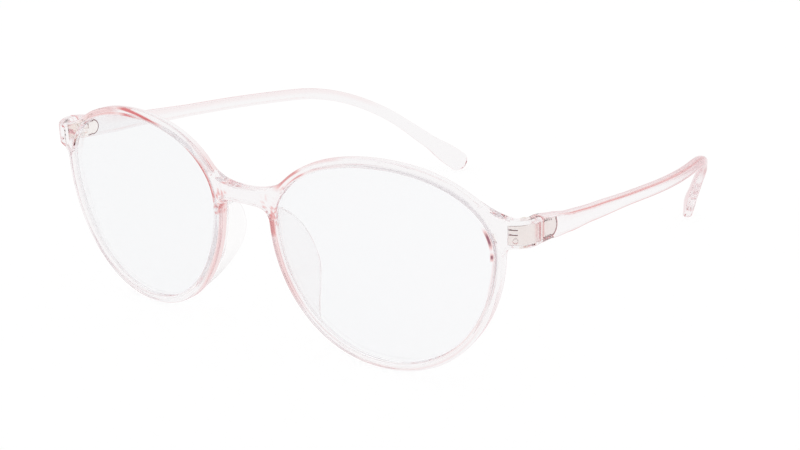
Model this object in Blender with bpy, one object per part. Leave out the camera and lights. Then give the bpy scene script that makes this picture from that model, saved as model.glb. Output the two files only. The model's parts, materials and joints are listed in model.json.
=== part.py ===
"""Blue light glasses: a moulded crystal front with two plano lenses, glued nose pads and folding temples.

Everything is drawn in millimetres in the front's own upright frame: X to the wearer's left, Y to the
back, Z up, with the bridge at the origin. Each finished piece is then leant forward by the angle the
glasses take when they stand on the rims and temple tips, and moved so that the floor is at Z = 0.
"""
import math

import bmesh
import bpy
import numpy as np
from mathutils import Matrix, Vector, geometry

for old in list(bpy.data.objects):
    bpy.data.objects.remove(old)

MM = 0.001

# Lens shape, rims and wrap
LENS_CENTRE = 33.35
RIM_HALF_WIDTH = 26.5
RIM_TOP = 17.14
RIM_BOTTOM = 27.68
SIDE_EXPONENT = 0.95
EGG_SLOPE = 0.05
EGG_CORNER = 0.018
WRAP_ANGLE = math.radians(6.96)
RIM_WIDTH = 1.75
RIM_DEPTH = 2.8
OUTER_ROUND = 0.9
INNER_ROUND = 0.35
GROOVE_DEPTH = 0.6
GROOVE_MOUTH = 0.75
GROOVE_FLOOR = 0.28

# Bridge
BRIDGE_TOP = 6.8
BRIDGE_BOTTOM = 3.0
BRIDGE_TOP_ANGLE = math.radians(146)
BRIDGE_BOTTOM_ANGLE = math.radians(178)
BRIDGE_BLEND = 7.0
BRIDGE_SETBACK = 0.43

# End pieces and the butt joint with the temples
END_BOTTOM = 3.4
SEAM_TOP = 9.0
END_TOP_END = 63.0
SEAM_Y = 13.4
SEAM_GAP = 0.2
END_TOP_ANGLE = math.radians(47)
END_BOTTOM_ANGLE = math.radians(4)
END_DEPTH = 3.0
CORNER_START = 60.6
CORNER_RADIUS = 5.2
CORNER_TURN = math.radians(81)

# Lenses
LENS_THICKNESS = 1.7
LENS_BULGE = 1.7
LENS_EDGE_INSET = 1.95
BEVEL_REACH = 0.62
BEVEL_ROOT = 0.5
BEVEL_TIP = 0.12

# Nose pads
PAD_TOP = 2.5
PAD_LENGTH = 23.5
PAD_REACH = 8.4
PAD_SPLAY = 0.16
PAD_OFFSET = 0.9
PAD_THICKNESS = 1.6
PAD_GAP = 0.1

# Temples, measured along the centre line from the butt joint
TEMPLE_LENGTH = 141.5
TEMPLE_X = 63.3
TEMPLE_Z = 5.45
HEAD_LIFT = 0.75
PITCH_START = math.radians(7.1)
PITCH_END = math.radians(43.7)
BEND_START = 78.0
BEND_END = 117.5
SPLAY_OUT = math.radians(-0.58)
INWARD_ANGLE = math.radians(24.4)
INWARD_START = 48.0
INWARD_END = 109.0
TEMPLE_HEIGHTS = ((0, 5.6), (6, 5.0), (12, 4.3), (22, 3.6), (40, 3.0), (94, 2.95),
                  (115, 3.2), (126, 3.9), (135.5, 5.8), (141.5, 5.9))
TEMPLE_WIDTHS = ((0, 2.9), (6, 2.75), (12, 2.5), (23, 2.3), (40, 2.1), (94, 2.2), (141.5, 2.4))

TIP_ROUND = 2.6

# Hinges
HINGE_X = 60.45
HINGE_Y = 13.95
HINGE_Z = 6.0
BARREL_RADIUS = 1.1
KNUCKLE = 0.95
KNUCKLE_GAP = 0.12
PIN_RADIUS = 0.55
HEAD_RADIUS = 0.75
PIN_CLEARANCE = 0.05
LEAF_THICKNESS = 0.6
LEAF_PROUD = 0.25
FRONT_LEAF_START = 60.7
FRONT_LEAF_END_GAP = 0.3
FRONT_LEAF_SINK = 1.7
FRONT_LEAF_HEIGHT = 3.7
TEMPLE_LEAF_LENGTH = 6.6
TEMPLE_LEAF_HEIGHT = 3.6
TEMPLE_LEAF_DROP = 0.25
COMB_SLOTS = (1.2, 0.2)
COMB_SLOT = 0.35
COMB_LENGTH = 2.3
PEG_AT = 62.5
PEG_UP = -0.9
PEG_RADIUS = 0.42
PEG_LENGTH = 0.8
FIT = 0.08

# Points round a rim, round a lens, along the front's edge, along the leaf and round the peg
RIM_POINTS = 84
LENS_POINTS = 72
SPACING = 1.8
PLATE_STEPS = 8
COMB_STEPS = 2
PEG_SIDES = 12


def smooth(value, low, high):
    """Ease from 0 at low to 1 at high."""
    part = np.clip((value - low) / (high - low), 0.0, 1.0)
    return part * part * (3.0 - 2.0 * part)


def profile_at(table, value):
    """Smoothly read a table of (distance, size) pairs."""
    for (start, size), (end, next_size) in zip(table, table[1:]):
        if value <= end:
            return size + (next_size - size) * float(smooth(value, start, end))
    return table[-1][1]


# ---------------------------------------------------------------- the flat front


def rim_point(angle):
    """Outer edge of a rim, flat, relative to the lens centre."""
    c = math.cos(angle)
    s = math.sin(angle)
    side = math.copysign(abs(c) ** SIDE_EXPONENT, c) * (1 + EGG_SLOPE * s + EGG_CORNER * s * s)
    return np.array([RIM_HALF_WIDTH * side, (RIM_TOP if s > 0 else RIM_BOTTOM) * s])


def even(points, count):
    """Resample a closed outline at even steps."""
    loop = np.vstack([points, points[:1]])
    length = np.concatenate([[0.0], np.cumsum(np.linalg.norm(np.diff(loop, axis=0), axis=1))])
    steps = np.linspace(0.0, length[-1], count + 1)[:-1]
    return np.stack([np.interp(steps, length, loop[:, axis]) for axis in (0, 1)], axis=1)


def inset(loop, distance):
    """Move a closed anticlockwise outline inwards."""
    tangent = np.roll(loop, -1, axis=0) - np.roll(loop, 1, axis=0)
    tangent /= np.linalg.norm(tangent, axis=1)[:, None]
    return loop + distance * np.stack([-tangent[:, 1], tangent[:, 0]], axis=1)


def rim_loop(distance, count):
    """Closed rim outline, moved inwards from the outer edge."""
    dense = np.array([rim_point(angle) for angle in np.linspace(0, 2 * math.pi, 721)[:-1]])
    return even(inset(dense, distance), count)


def bezier(p0, p1, p2, p3, count):
    """Points of a cubic curve, without its first point."""
    t = np.linspace(0, 1, count + 1)[1:, None]
    p0, p1, p2, p3 = (np.array(p, float) for p in (p0, p1, p2, p3))
    return (1 - t) ** 3 * p0 + 3 * (1 - t) ** 2 * t * p1 + 3 * (1 - t) * t * t * p2 + t ** 3 * p3


def rim_tangent(angle):
    """Unit direction of the rim outline as the angle grows."""
    step = rim_point(angle + 0.01) - rim_point(angle - 0.01)
    return step / np.linalg.norm(step)


def front_outline():
    """Half of the front's outer edge, anticlockwise from the bridge underside to the bridge top."""
    centre = np.array([LENS_CENTRE, 0.0])
    end_s = seam_distance() + 1.5
    low = rim_point(BRIDGE_BOTTOM_ANGLE) + centre
    low_dir = rim_tangent(BRIDGE_BOTTOM_ANGLE)
    parts = [bezier((0, BRIDGE_BOTTOM), (3.6, BRIDGE_BOTTOM), low - 2.6 * low_dir, low, 10)]
    angles = np.linspace(BRIDGE_BOTTOM_ANGLE, 2 * math.pi + END_BOTTOM_ANGLE, 120)[1:]
    parts.append(np.array([rim_point(angle) + centre for angle in angles]))
    turn = parts[-1][-1]
    turn_dir = rim_tangent(END_BOTTOM_ANGLE)
    parts.append(bezier(turn, turn + 1.8 * turn_dir, (60.3, END_BOTTOM), (61.9, END_BOTTOM), 6))
    parts.append(np.array([[end_s, END_BOTTOM], [end_s, SEAM_TOP]]))
    top = rim_point(END_TOP_ANGLE) + centre
    top_dir = rim_tangent(END_TOP_ANGLE)
    parts.append(np.array([[END_TOP_END, SEAM_TOP]]))
    shoulder = (END_TOP_END - 3.5, SEAM_TOP + 0.1)
    parts.append(bezier((END_TOP_END, SEAM_TOP), shoulder, top - 4.5 * top_dir, top, 12))
    angles = np.linspace(END_TOP_ANGLE, BRIDGE_TOP_ANGLE, 60)[1:]
    parts.append(np.array([rim_point(angle) + centre for angle in angles]))
    start = parts[-1][-1]
    start_dir = rim_tangent(BRIDGE_TOP_ANGLE)
    parts.append(bezier(start, start + 3.2 * start_dir, (4.0, BRIDGE_TOP), (0, BRIDGE_TOP), 10)[:-1])
    return np.vstack(parts)


def path_table():
    """Plan curve of the front face: distance, X, Y and heading, from the middle outwards."""
    distance = np.linspace(0.0, 80.0, 4001)
    heading = WRAP_ANGLE * np.clip(distance / BRIDGE_BLEND, 0, 1)
    heading = heading + np.clip((distance - CORNER_START) / CORNER_RADIUS, 0, CORNER_TURN)
    step = distance[1]
    x = np.concatenate([[0.0], np.cumsum(np.cos(heading[:-1]) * step)])
    y = np.concatenate([[0.0], np.cumsum(np.sin(heading[:-1]) * step)]) + BRIDGE_SETBACK
    return distance, x, y, heading


PATH = path_table()


def seam_distance():
    """Distance along the front face at which it reaches the butt joint."""
    distance, _, y, _ = path_table()
    return float(distance[np.searchsorted(y, SEAM_Y)])


def bend(s, z, depth):
    """Place flat front coordinates on the wrapped front. Depth 0 is the front face, 1 the back."""
    side = np.sign(s)
    reach = np.abs(s)
    distance, x, y, heading = PATH
    angle = np.interp(reach, distance, heading)
    thick = RIM_DEPTH + (END_DEPTH - RIM_DEPTH) * smooth(reach, 50.0, 56.5)
    px = np.interp(reach, distance, x) - np.sin(angle) * depth * thick
    py = np.interp(reach, distance, y) + np.cos(angle) * depth * thick
    return np.stack([np.where(side < 0, -px, px), py, z], axis=-1)


def inside(point, loop):
    """True when a flat point lies inside a closed outline."""
    x, y = point
    a = loop
    b = np.roll(loop, -1, axis=0)
    spans = (a[:, 1] > y) != (b[:, 1] > y)
    cross = a[spans, 0] + (y - a[spans, 1]) * (b[spans, 0] - a[spans, 0]) / (b[spans, 1] - a[spans, 1])
    return int((cross > x).sum()) % 2 == 1


def clear_of(point, loops, distance):
    """True when a flat point keeps a distance from every outline point."""
    return all(np.hypot(*(loop - point).T).min() > distance for loop in loops)


def flat_fill(outer, holes):
    """Triangulate the flat region between an outline and its holes, with points across the wide parts."""
    loops = [outer] + holes
    points = []
    edges = []
    for loop in loops:
        start = len(points)
        points += [tuple(p) for p in loop]
        edges += [(start + i, start + (i + 1) % len(loop)) for i in range(len(loop))]
    border = len(points)
    for s in np.arange(-70.0, 70.1, 1.2):
        for z in np.arange(2.5, 12.0, 1.1):
            point = np.array([s, z])
            in_hole = any(inside(point, hole) for hole in holes)
            if inside(point, outer) and not in_hole and clear_of(point, loops, 0.75):
                points.append((s, z))
    found = geometry.delaunay_2d_cdt([Vector(p) for p in points], edges, [], 0, 1e-6)
    source = [origins[0] for origins in found[3]]
    faces = []
    for face in found[2]:
        middle = np.mean([points[source[i]] for i in face], axis=0)
        if inside(middle, outer) and not any(inside(middle, h) for h in holes):
            faces.append([source[i] for i in face])
    return np.array(points), faces, border


def edge_profile():
    """Outer edge from the back face round to the front face: (inset, depth) pairs."""
    steps = np.linspace(0, math.pi / 2, 5)
    r = OUTER_ROUND
    back = [(r - r * math.sin(a), RIM_DEPTH - r + r * math.cos(a)) for a in steps]
    front = [(r - r * math.cos(a), r - r * math.sin(a)) for a in steps]
    return back + front


def aperture_profile():
    """Lens opening from the front face round to the back face, with its groove: (inset, depth) pairs."""
    r = INNER_ROUND
    w = RIM_WIDTH
    mid = RIM_DEPTH / 2
    edge = [(w - r, 0.0), (w - 0.3 * r, 0.3 * r), (w, r), (w, mid - GROOVE_MOUTH)]
    floor = [(w - GROOVE_DEPTH, mid - GROOVE_FLOOR)]
    half = edge + floor
    return half + [(inset_, RIM_DEPTH - depth) for inset_, depth in reversed(half)]


def front_mesh():
    """Vertices and faces of the whole front before the cuts."""
    half = front_outline()
    full = np.vstack([half, (half * [-1, 1])[::-1]])
    perimeter = np.linalg.norm(np.diff(np.vstack([full, full[:1]]), axis=0), axis=1).sum()
    outline = even(full, int(perimeter / SPACING) // 2 * 2)
    centre = np.array([LENS_CENTRE, 0.0])
    verts = []
    faces = []

    def add_rings(rings):
        """Join rings of (flat loop, depth) and return the index ranges of the rings."""
        starts = []
        for loop, depth in rings:
            starts.append(len(verts))
            verts.extend([p[0], p[1], depth / RIM_DEPTH] for p in loop)
        count = len(rings[0][0])
        for a, b in zip(starts, starts[1:]):
            for i in range(count):
                j = (i + 1) % count
                faces.append([a + i, a + j, b + j, b + i])
        return starts, count

    outer_starts, outer_count = add_rings([(inset(outline, o), d) for o, d in edge_profile()])
    holes = []
    for side in (1, -1):
        rings = []
        for distance, depth in aperture_profile():
            loop = (rim_loop(distance, RIM_POINTS) + centre) * [side, 1]
            rings.append((loop[::-1] if side == 1 else loop, depth))
        holes.append(add_rings(rings))
    outer_inner = np.array([v[:2] for v in verts[outer_starts[0]:outer_starts[0] + outer_count]])
    hole_loops = [np.array([v[:2] for v in verts[st[0]:st[0] + n]]) for st, n in holes]
    points, triangles, border = flat_fill(outer_inner, hole_loops)
    for back in (True, False):
        first = outer_starts[0 if back else -1]
        index = list(range(first, first + outer_count))
        for starts, count in holes:
            first = starts[-1 if back else 0]
            index += list(range(first, first + count))
        for p in points[border:]:
            index.append(len(verts))
            verts.append([p[0], p[1], 1.0 if back else 0.0])
        for triangle in triangles:
            faces.append([index[i] for i in (reversed(triangle) if back else triangle)])
    flat = np.array(verts)
    return bend(flat[:, 0], flat[:, 1], flat[:, 2]), faces


# ---------------------------------------------------------------- lofts and simple solids


def loft(rings, close_start=True, close_end=True):
    """Vertices and faces of a tube through equal rings of points."""
    count = len(rings[0])
    verts = np.vstack(rings)
    faces = []
    for k in range(len(rings) - 1):
        for i in range(count):
            j = (i + 1) % count
            faces.append([k * count + i, k * count + j, (k + 1) * count + j, (k + 1) * count + i])
    if close_start:
        faces.append(list(range(count))[::-1])
    if close_end:
        faces.append(list(range((len(rings) - 1) * count, len(rings) * count)))
    return verts, faces


def rounded_box_section(width, height, radius, per_corner=4):
    """Closed section as (across, up) pairs."""
    radius = min(radius, 0.49 * width, 0.49 * height)
    points = []
    for corner, (sx, sz) in enumerate(((1, 1), (-1, 1), (-1, -1), (1, -1))):
        for step in range(per_corner):
            angle = math.pi / 2 * (corner + step / (per_corner - 1))
            points.append((sx * (width / 2 - radius) + radius * math.cos(angle),
                           sz * (height / 2 - radius) + radius * math.sin(angle)))
    return np.array(points)


def cylinder(centre, radius, low, high, count=24):
    """Upright cylinder."""
    rings = []
    for z in (low, high):
        angles = np.linspace(0, 2 * math.pi, count, endpoint=False)
        x = centre[0] + radius * np.cos(angles)
        y = centre[1] + radius * np.sin(angles)
        rings.append(np.stack([x, y, np.full(count, z)], axis=1))
    return loft(rings)


def prism(outline, low, high):
    """Flat (x, y) outline raised along Z."""
    outline = np.array(outline, float)
    rings = [np.column_stack([outline, np.full(len(outline), z)]) for z in (low, high)]
    return loft(rings)


def moved(solid, matrix):
    """Solid moved by a 4x4 matrix."""
    verts, faces = solid
    placed = np.array([matrix @ Vector(v) for v in verts])
    return placed, faces


# ---------------------------------------------------------------- pieces


def lens_solid(side):
    """Plano lens with a bevelled edge that sits in the rim's groove."""
    centre_z = (RIM_TOP - RIM_BOTTOM) / 2
    body = rim_loop(LENS_EDGE_INSET, LENS_POINTS)
    ridge = rim_loop(LENS_EDGE_INSET - BEVEL_REACH, LENS_POINTS)
    mid = RIM_DEPTH / 2
    half = LENS_THICKNESS / 2

    def ring(loop, scale, depth):
        """One ring of the lens, placed on the wrapped front."""
        flat = (loop - [0, centre_z]) * scale + [LENS_CENTRE, centre_z]
        drop = LENS_BULGE * (1 - scale * scale)
        level = np.full(len(flat), (mid + depth - drop) / RIM_DEPTH)
        return bend(flat[:, 0], flat[:, 1], level) * [side, 1, 1]

    scales = (0.02, 0.28, 0.53, 0.77, 1.0)
    rings = [ring(body, scale, -half) for scale in scales]
    rings.append(ring(body, 1.0, -BEVEL_ROOT))
    rings.append(ring(ridge, 1.0, -BEVEL_TIP))
    rings.append(ring(ridge, 1.0, BEVEL_TIP))
    rings.append(ring(body, 1.0, BEVEL_ROOT))
    rings += [ring(body, scale, half) for scale in reversed(scales)]
    return loft(rings)


def pad_solid(side):
    """Clear fin that bears on the nose, glued to the back of the rim."""
    rings = []
    for u in np.linspace(0.0, 1.0, 25):
        z = PAD_TOP - PAD_LENGTH * u
        level = math.sin(math.pi * min(max(u, 0.012), 0.988))
        reach = 0.5 + (PAD_REACH - 0.5) * level ** (0.6 if u < 0.5 else 1.2)
        edge = rim_edge_at(z)
        swell = min(1.0, 3.2 * math.sin(math.pi * min(max(u, 0.02), 0.98)))
        thick = PAD_THICKNESS * (0.35 + 0.65 * swell)
        across, along = pad_section(thick, reach)
        root = bend(np.array([edge + PAD_OFFSET]), np.array([z]), np.array([1.0]))[0]
        x = root[0] + across + PAD_SPLAY * along
        y = root[1] + PAD_GAP + along
        rings.append(np.stack([x * side, y, np.full(len(x), z)], axis=1))
    return loft(rings)


def pad_section(thick, reach):
    """Section of the pad across and along its reach: flat root, rounded free edge."""
    half = thick / 2
    nose = min(half, reach)
    angles = np.linspace(0, math.pi, 9)
    waist = 0.45 * max(reach - half, 0.1)
    across = np.concatenate([half * np.cos(angles), [-half, -half, half, half]])
    along = np.concatenate([reach - nose + nose * np.sin(angles), [waist, 0.0, 0.0, waist]])
    return across, along


def rim_edge_at(z):
    """Flat distance from the middle to the rim's nasal outer edge at a height."""
    s = z / (RIM_TOP if z > 0 else RIM_BOTTOM)
    angle = math.pi - math.asin(max(-1.0, min(1.0, s)))
    return float(LENS_CENTRE + rim_point(angle)[0])


def temple_line():
    """Centre line of the left temple: stations, points, downward pitch and inward turn."""
    fine = np.linspace(0.0, TEMPLE_LENGTH, 1421)
    drop = np.clip((fine - BEND_START) / (BEND_END - BEND_START), 0, 1)
    curl = np.clip((fine - INWARD_START) / (INWARD_END - INWARD_START), 0, 1)
    pitch = PITCH_START + (PITCH_END - PITCH_START) * drop
    inward = -SPLAY_OUT + (INWARD_ANGLE + SPLAY_OUT) * curl
    forward = np.cos(inward)
    heading = np.stack([-np.sin(inward), forward * np.cos(pitch), -forward * np.sin(pitch)], axis=1)
    start = np.array([TEMPLE_X, SEAM_Y + SEAM_GAP, TEMPLE_Z])
    line = start + np.vstack([[0, 0, 0], np.cumsum(heading[:-1], axis=0) * fine[1]])
    line[:, 2] += HEAD_LIFT * (1 - smooth(fine, 0.0, 14.0))
    return fine, line, pitch, inward


def temple_solid(side):
    """Slim temple with a taller head at the hinge and a spoon-shaped tip."""
    fine, line, pitch, inward = temple_line()
    tail = TEMPLE_LENGTH - TIP_ROUND
    stops = list(np.linspace(0, 24, 13)) + list(np.arange(28, 133, 4.0)) + [133.0, 134.75, 136.5, 138.25]
    stops += [tail + TIP_ROUND * math.sin(math.radians(a)) for a in (0, 22, 45, 62, 76, 87)]
    rings = []
    for stop in stops:
        index = min(int(round(stop / fine[1])), len(fine) - 1)
        height = profile_at(TEMPLE_HEIGHTS, stop)
        width = profile_at(TEMPLE_WIDTHS, stop)
        if stop > tail:
            shrink = math.sqrt(max(0.0, 1 - ((stop - tail) / TIP_ROUND) ** 2))
            height *= shrink
            width *= 0.25 + 0.75 * shrink
        section = rounded_box_section(width, height, 0.9)
        blend = float(smooth(stop, 0.0, 8.0))
        lean = pitch[index] * blend
        turn = inward[index] * blend
        across = np.array([math.cos(turn), math.sin(turn), 0.0])
        up = np.array([math.sin(turn) * -math.sin(lean), math.cos(turn) * math.sin(lean), math.cos(lean)])
        points = line[index] + section[:, :1] * across + section[:, 1:] * up
        rings.append((points * [side, 1, 1])[::side])
    return loft(rings)


def wrapped_slab(stops, levels, depths, empty=()):
    """Left slab that follows the front's curve, on a grid of distances, heights and depths."""
    solid = np.ones((len(stops) - 1, len(levels) - 1), bool)
    for cell in empty:
        solid[cell] = False
    grid = {}
    verts = []
    faces = []

    def corner(i, j, k):
        """Index of one grid corner: along, up and through the slab."""
        if (i, j, k) not in grid:
            grid[i, j, k] = len(verts)
            depth = depths[k] / END_DEPTH
            verts.append(bend(np.array([stops[i]]), np.array([levels[j]]), np.array([depth]))[0])
        return grid[i, j, k]

    def filled(i, j):
        """True when a cell of the slab is solid."""
        return 0 <= i < solid.shape[0] and 0 <= j < solid.shape[1] and solid[i, j]

    for i, j in zip(*np.nonzero(solid)):
        around = ((i, j), (i + 1, j), (i + 1, j + 1), (i, j + 1))
        faces.append([corner(a, b, 0) for a, b in around])
        faces.append([corner(a, b, 1) for a, b in reversed(around)])
        beside = ((i, j - 1), (i + 1, j), (i, j + 1), (i - 1, j))
        for side, (a, b) in enumerate(beside):
            if not filled(a, b):
                start, end = around[side], around[(side + 1) % 4]
                faces.append([corner(*end, 0), corner(*start, 0), corner(*start, 1), corner(*end, 1)])
    return np.array(verts), faces


def front_leaf_plate():
    """Left front leaf's plate: a comb end, then a flat curved round the corner to the butt joint."""
    low = HINGE_Z - FRONT_LEAF_HEIGHT / 2
    high = HINGE_Z + FRONT_LEAF_HEIGHT / 2
    slot_lows = [HINGE_Z + middle - COMB_SLOT / 2 for middle in COMB_SLOTS]
    levels = sorted([low, high] + slot_lows + [slot_low + COMB_SLOT for slot_low in slot_lows])
    comb_end = FRONT_LEAF_START + COMB_LENGTH
    last = seam_distance() - FRONT_LEAF_END_GAP
    comb = list(np.linspace(FRONT_LEAF_START, comb_end, COMB_STEPS + 1))
    stops = comb[:-1] + list(np.linspace(comb_end, last, PLATE_STEPS))
    front = END_DEPTH - FRONT_LEAF_SINK + FIT
    empty = [(step, levels.index(slot_low)) for slot_low in slot_lows for step in range(COMB_STEPS)]
    return wrapped_slab(stops, levels, (front, front + LEAF_THICKNESS), empty)


def leaf_pocket():
    """Cutter for the pocket in the back of the left end piece that holds the front leaf."""
    half = FRONT_LEAF_HEIGHT / 2 + FIT
    stops = np.linspace(FRONT_LEAF_START - FIT, seam_distance() + 0.8, PLATE_STEPS + COMB_STEPS)
    depths = (END_DEPTH - FRONT_LEAF_SINK, END_DEPTH + 0.6)
    return wrapped_slab(list(stops), [HINGE_Z - half, HINGE_Z + half], depths)


def peg_place():
    """Matrix of the left front leaf's peg, standing on the floor of the pocket and pointing forwards."""
    depth = 1 - (FRONT_LEAF_SINK - FIT) / END_DEPTH
    foot = bend(np.array([PEG_AT]), np.array([HINGE_Z + PEG_UP]), np.array([depth]))[0]
    aim = Matrix.Rotation(float(np.interp(PEG_AT, PATH[0], PATH[3])), 4, "Z")
    return Matrix.Translation(foot) @ aim @ Matrix.Rotation(math.pi / 2, 4, "X")


def front_leaf_parts():
    """Left front leaf: comb plate, a peg, and two knuckles on webs, with the pin hole left to cut."""
    peg = cylinder((0, 0), PEG_RADIUS, -0.3, PEG_LENGTH, PEG_SIDES)
    parts = [front_leaf_plate(), moved(peg, peg_place())]
    middle = 1 - (FRONT_LEAF_SINK - FIT - LEAF_THICKNESS / 2) / END_DEPTH
    last = seam_distance() - FRONT_LEAF_END_GAP
    end = bend(np.array([last]), np.array([HINGE_Z]), np.array([middle]))[0]
    web = [(end[0], end[1] - 0.9), (end[0], end[1] - 0.1)]
    web += [(HINGE_X + x, HINGE_Y + y) for x, y in ((0.95, -0.55), (0.9, -0.2), (-0.9, -0.2), (-0.3, -1.05))]
    for level in (1, -1):
        low, high = knuckle_span(level)
        parts.append(cylinder((HINGE_X, HINGE_Y), BARREL_RADIUS, low, high))
        parts.append(prism(web, low, high))
    return parts


def knuckle_span(level):
    """Bottom and top of a knuckle: 1 upper, 0 middle, -1 lower."""
    middle = HINGE_Z + level * (KNUCKLE + KNUCKLE_GAP)
    return middle - KNUCKLE / 2, middle + KNUCKLE / 2


def temple_leaf_outline(grow):
    """Serrated plate outline along and up the temple, with a rounded free end."""
    half = TEMPLE_LEAF_HEIGHT / 2
    points = [(0.9 - grow, -half * 0.8 - grow)]
    for tooth in range(3):
        start = 1.9 + 0.8 * tooth
        points += [(start - grow, -half - grow), (start + 0.45 + grow, -half - grow)]
        points += [(start + 0.55 + grow, -half + 0.3 - grow)]
    for angle in np.linspace(-math.pi / 2, math.pi / 2, 9):
        reach = half + grow
        points.append((TEMPLE_LEAF_LENGTH - half + reach * math.cos(angle), reach * math.sin(angle)))
    upper = [(along, -up) for along, up in points[:-9]]
    return points + upper[::-1]


def temple_leaf_place():
    """Matrix that stands the temple leaf on the inner face of the left temple."""
    inner = TEMPLE_X - TEMPLE_WIDTHS[1][1] / 2
    tilt = Matrix.Rotation(-PITCH_START, 4, "X")
    stand = Matrix(((0, 0, 1, 0), (1, 0, 0, 0), (0, 1, 0, 0), (0, 0, 0, 1)))
    return Matrix.Translation((inner, HINGE_Y, HINGE_Z - TEMPLE_LEAF_DROP)) @ tilt @ stand


def temple_leaf_parts():
    """Left temple leaf: serrated plate set into the temple and the middle knuckle on its web."""
    place = temple_leaf_place()
    parts = [moved(prism(temple_leaf_outline(0.0), -LEAF_PROUD, LEAF_THICKNESS - LEAF_PROUD), place)]
    low, high = knuckle_span(0)
    parts.append(cylinder((HINGE_X, HINGE_Y), BARREL_RADIUS, low, high))
    inner = TEMPLE_X - TEMPLE_WIDTHS[1][1] / 2
    web = [(HINGE_X + 0.3, HINGE_Y + 0.1), (HINGE_X + 0.9, HINGE_Y + 0.1), (inner + 0.2, HINGE_Y + 1.1),
           (inner + 0.2, HINGE_Y + 2.6), (inner - 0.3, HINGE_Y + 2.6), (HINGE_X - 0.2, HINGE_Y + 0.9)]
    parts.append(prism(web, low, high))
    return parts


def screw_solid(side):
    """Hinge screw: low domed head over a plain shank that stays in the knuckles."""
    low = knuckle_span(-1)[0] - 0.15
    high = knuckle_span(1)[1]
    seat = high + 0.05
    shank = ((0.35, low), (PIN_RADIUS, low + 0.15), (PIN_RADIUS, seat))
    head = ((HEAD_RADIUS, seat), (HEAD_RADIUS, seat + 0.1), (0.55, seat + 0.18), (0.25, seat + 0.2))
    rings = []
    for radius, z in shank + head:
        angles = np.linspace(0, 2 * math.pi, 24, endpoint=False)
        x = side * (HINGE_X + radius * np.cos(angles))
        rings.append(np.stack([x, HINGE_Y + radius * np.sin(angles), np.full(24, z)], axis=1)[::side])
    return loft(rings)


# ---------------------------------------------------------------- objects


def to_object(name, solid):
    """New object from millimetre vertices, faces turned outwards."""
    verts, faces = solid
    mesh = bpy.data.meshes.new(name)
    mesh.from_pydata([tuple(v) for v in verts], [], faces)
    box = bmesh.new()
    box.from_mesh(mesh)
    bmesh.ops.recalc_face_normals(box, faces=box.faces)
    if box.calc_volume(signed=True) < 0:
        bmesh.ops.reverse_faces(box, faces=box.faces)
    box.to_mesh(mesh)
    box.free()
    body = bpy.data.objects.new(name, mesh)
    bpy.context.scene.collection.objects.link(body)
    return body


def mirrored(solid):
    """Solid reflected to the other side."""
    verts, faces = solid
    return np.array(verts) * [-1, 1, 1], [list(reversed(face)) for face in faces]


def combine(body, other, operation):
    """Apply an exact Boolean and remove the tool object."""
    step = body.modifiers.new("cut", "BOOLEAN")
    step.operation = operation
    step.solver = "EXACT"
    step.object = other
    result = bpy.data.meshes.new_from_object(body.evaluated_get(bpy.context.evaluated_depsgraph_get()))
    body.modifiers.clear()
    body.data = result
    bpy.data.objects.remove(other)


def joined(name, solids, hole):
    """Union of several solids, with a hole cut at the end."""
    body = to_object(name, solids[0])
    for solid in solids[1:]:
        combine(body, to_object("tool", solid), "UNION")
    combine(body, to_object("tool", hole), "DIFFERENCE")
    return body


def side_name(base, side):
    """Node name for the wearer's left (+X) or right side."""
    return base + ("_left" if side == 1 else "_right")


def on_side(solid, side):
    """Left-hand solid, reflected when the right side is wanted."""
    return solid if side == 1 else mirrored(solid)


def cut_front(front):
    """Trim the end pieces flat at the butt joints, and cut each leaf's pocket and peg hole."""
    for side in (1, -1):
        block = prism([(57, SEAM_Y), (72, SEAM_Y), (72, SEAM_Y + 8), (57, SEAM_Y + 8)], 0, 14)
        combine(front, to_object("tool", on_side(block, side)), "DIFFERENCE")
        combine(front, to_object("tool", on_side(leaf_pocket(), side)), "DIFFERENCE")
        hole = moved(cylinder((0, 0), PEG_RADIUS + FIT, -1.0, PEG_LENGTH + 0.1, PEG_SIDES), peg_place())
        combine(front, to_object("tool", on_side(hole, side)), "DIFFERENCE")


def build_pieces():
    """All pieces in the front's frame, in millimetres."""
    pieces = {}
    front = to_object("front_frame", front_mesh())
    cut_front(front)
    pieces["front_frame"] = front
    low = knuckle_span(-1)[0] - 1
    high = knuckle_span(1)[1] + 1
    pin_hole = cylinder((HINGE_X, HINGE_Y), PIN_RADIUS + PIN_CLEARANCE, low, high)
    sunk = LEAF_THICKNESS - LEAF_PROUD + FIT
    recess = moved(prism(temple_leaf_outline(FIT), -1.5, sunk), temple_leaf_place())
    for side in (1, -1):
        hole = on_side(pin_hole, side)
        front_leaf = [on_side(solid, side) for solid in front_leaf_parts()]
        temple_leaf = [on_side(solid, side) for solid in temple_leaf_parts()]
        temple = to_object(side_name("temple", side), temple_solid(side))
        combine(temple, to_object("tool", on_side(recess, side)), "DIFFERENCE")
        made = {
            "lens": to_object(side_name("lens", side), lens_solid(side)),
            "nose_pad": to_object(side_name("nose_pad", side), pad_solid(side)),
            "hinge_front_leaf": joined(side_name("hinge_front_leaf", side), front_leaf, hole),
            "hinge_temple_leaf": joined(side_name("hinge_temple_leaf", side), temple_leaf, hole),
            "hinge_screw": to_object(side_name("hinge_screw", side), screw_solid(side)),
            "temple": temple,
        }
        pieces.update({side_name(base, side): body for base, body in made.items()})
    return pieces


def points_of(body):
    """Vertices of an object as an array."""
    return np.array([v.co for v in body.data.vertices])


def rest_angle(pieces):
    """Forward lean at which the rims and the temple tips touch one floor."""
    rims = points_of(pieces["front_frame"])
    tips = points_of(pieces["temple_left"])
    low, high = 0.0, math.radians(12)
    for _ in range(40):
        lean = (low + high) / 2
        rim_floor = (rims[:, 1] * math.sin(lean) + rims[:, 2] * math.cos(lean)).min()
        tip_floor = (tips[:, 1] * math.sin(lean) + tips[:, 2] * math.cos(lean)).min()
        low, high = (lean, high) if tip_floor < rim_floor else (low, lean)
    return lean


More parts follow.
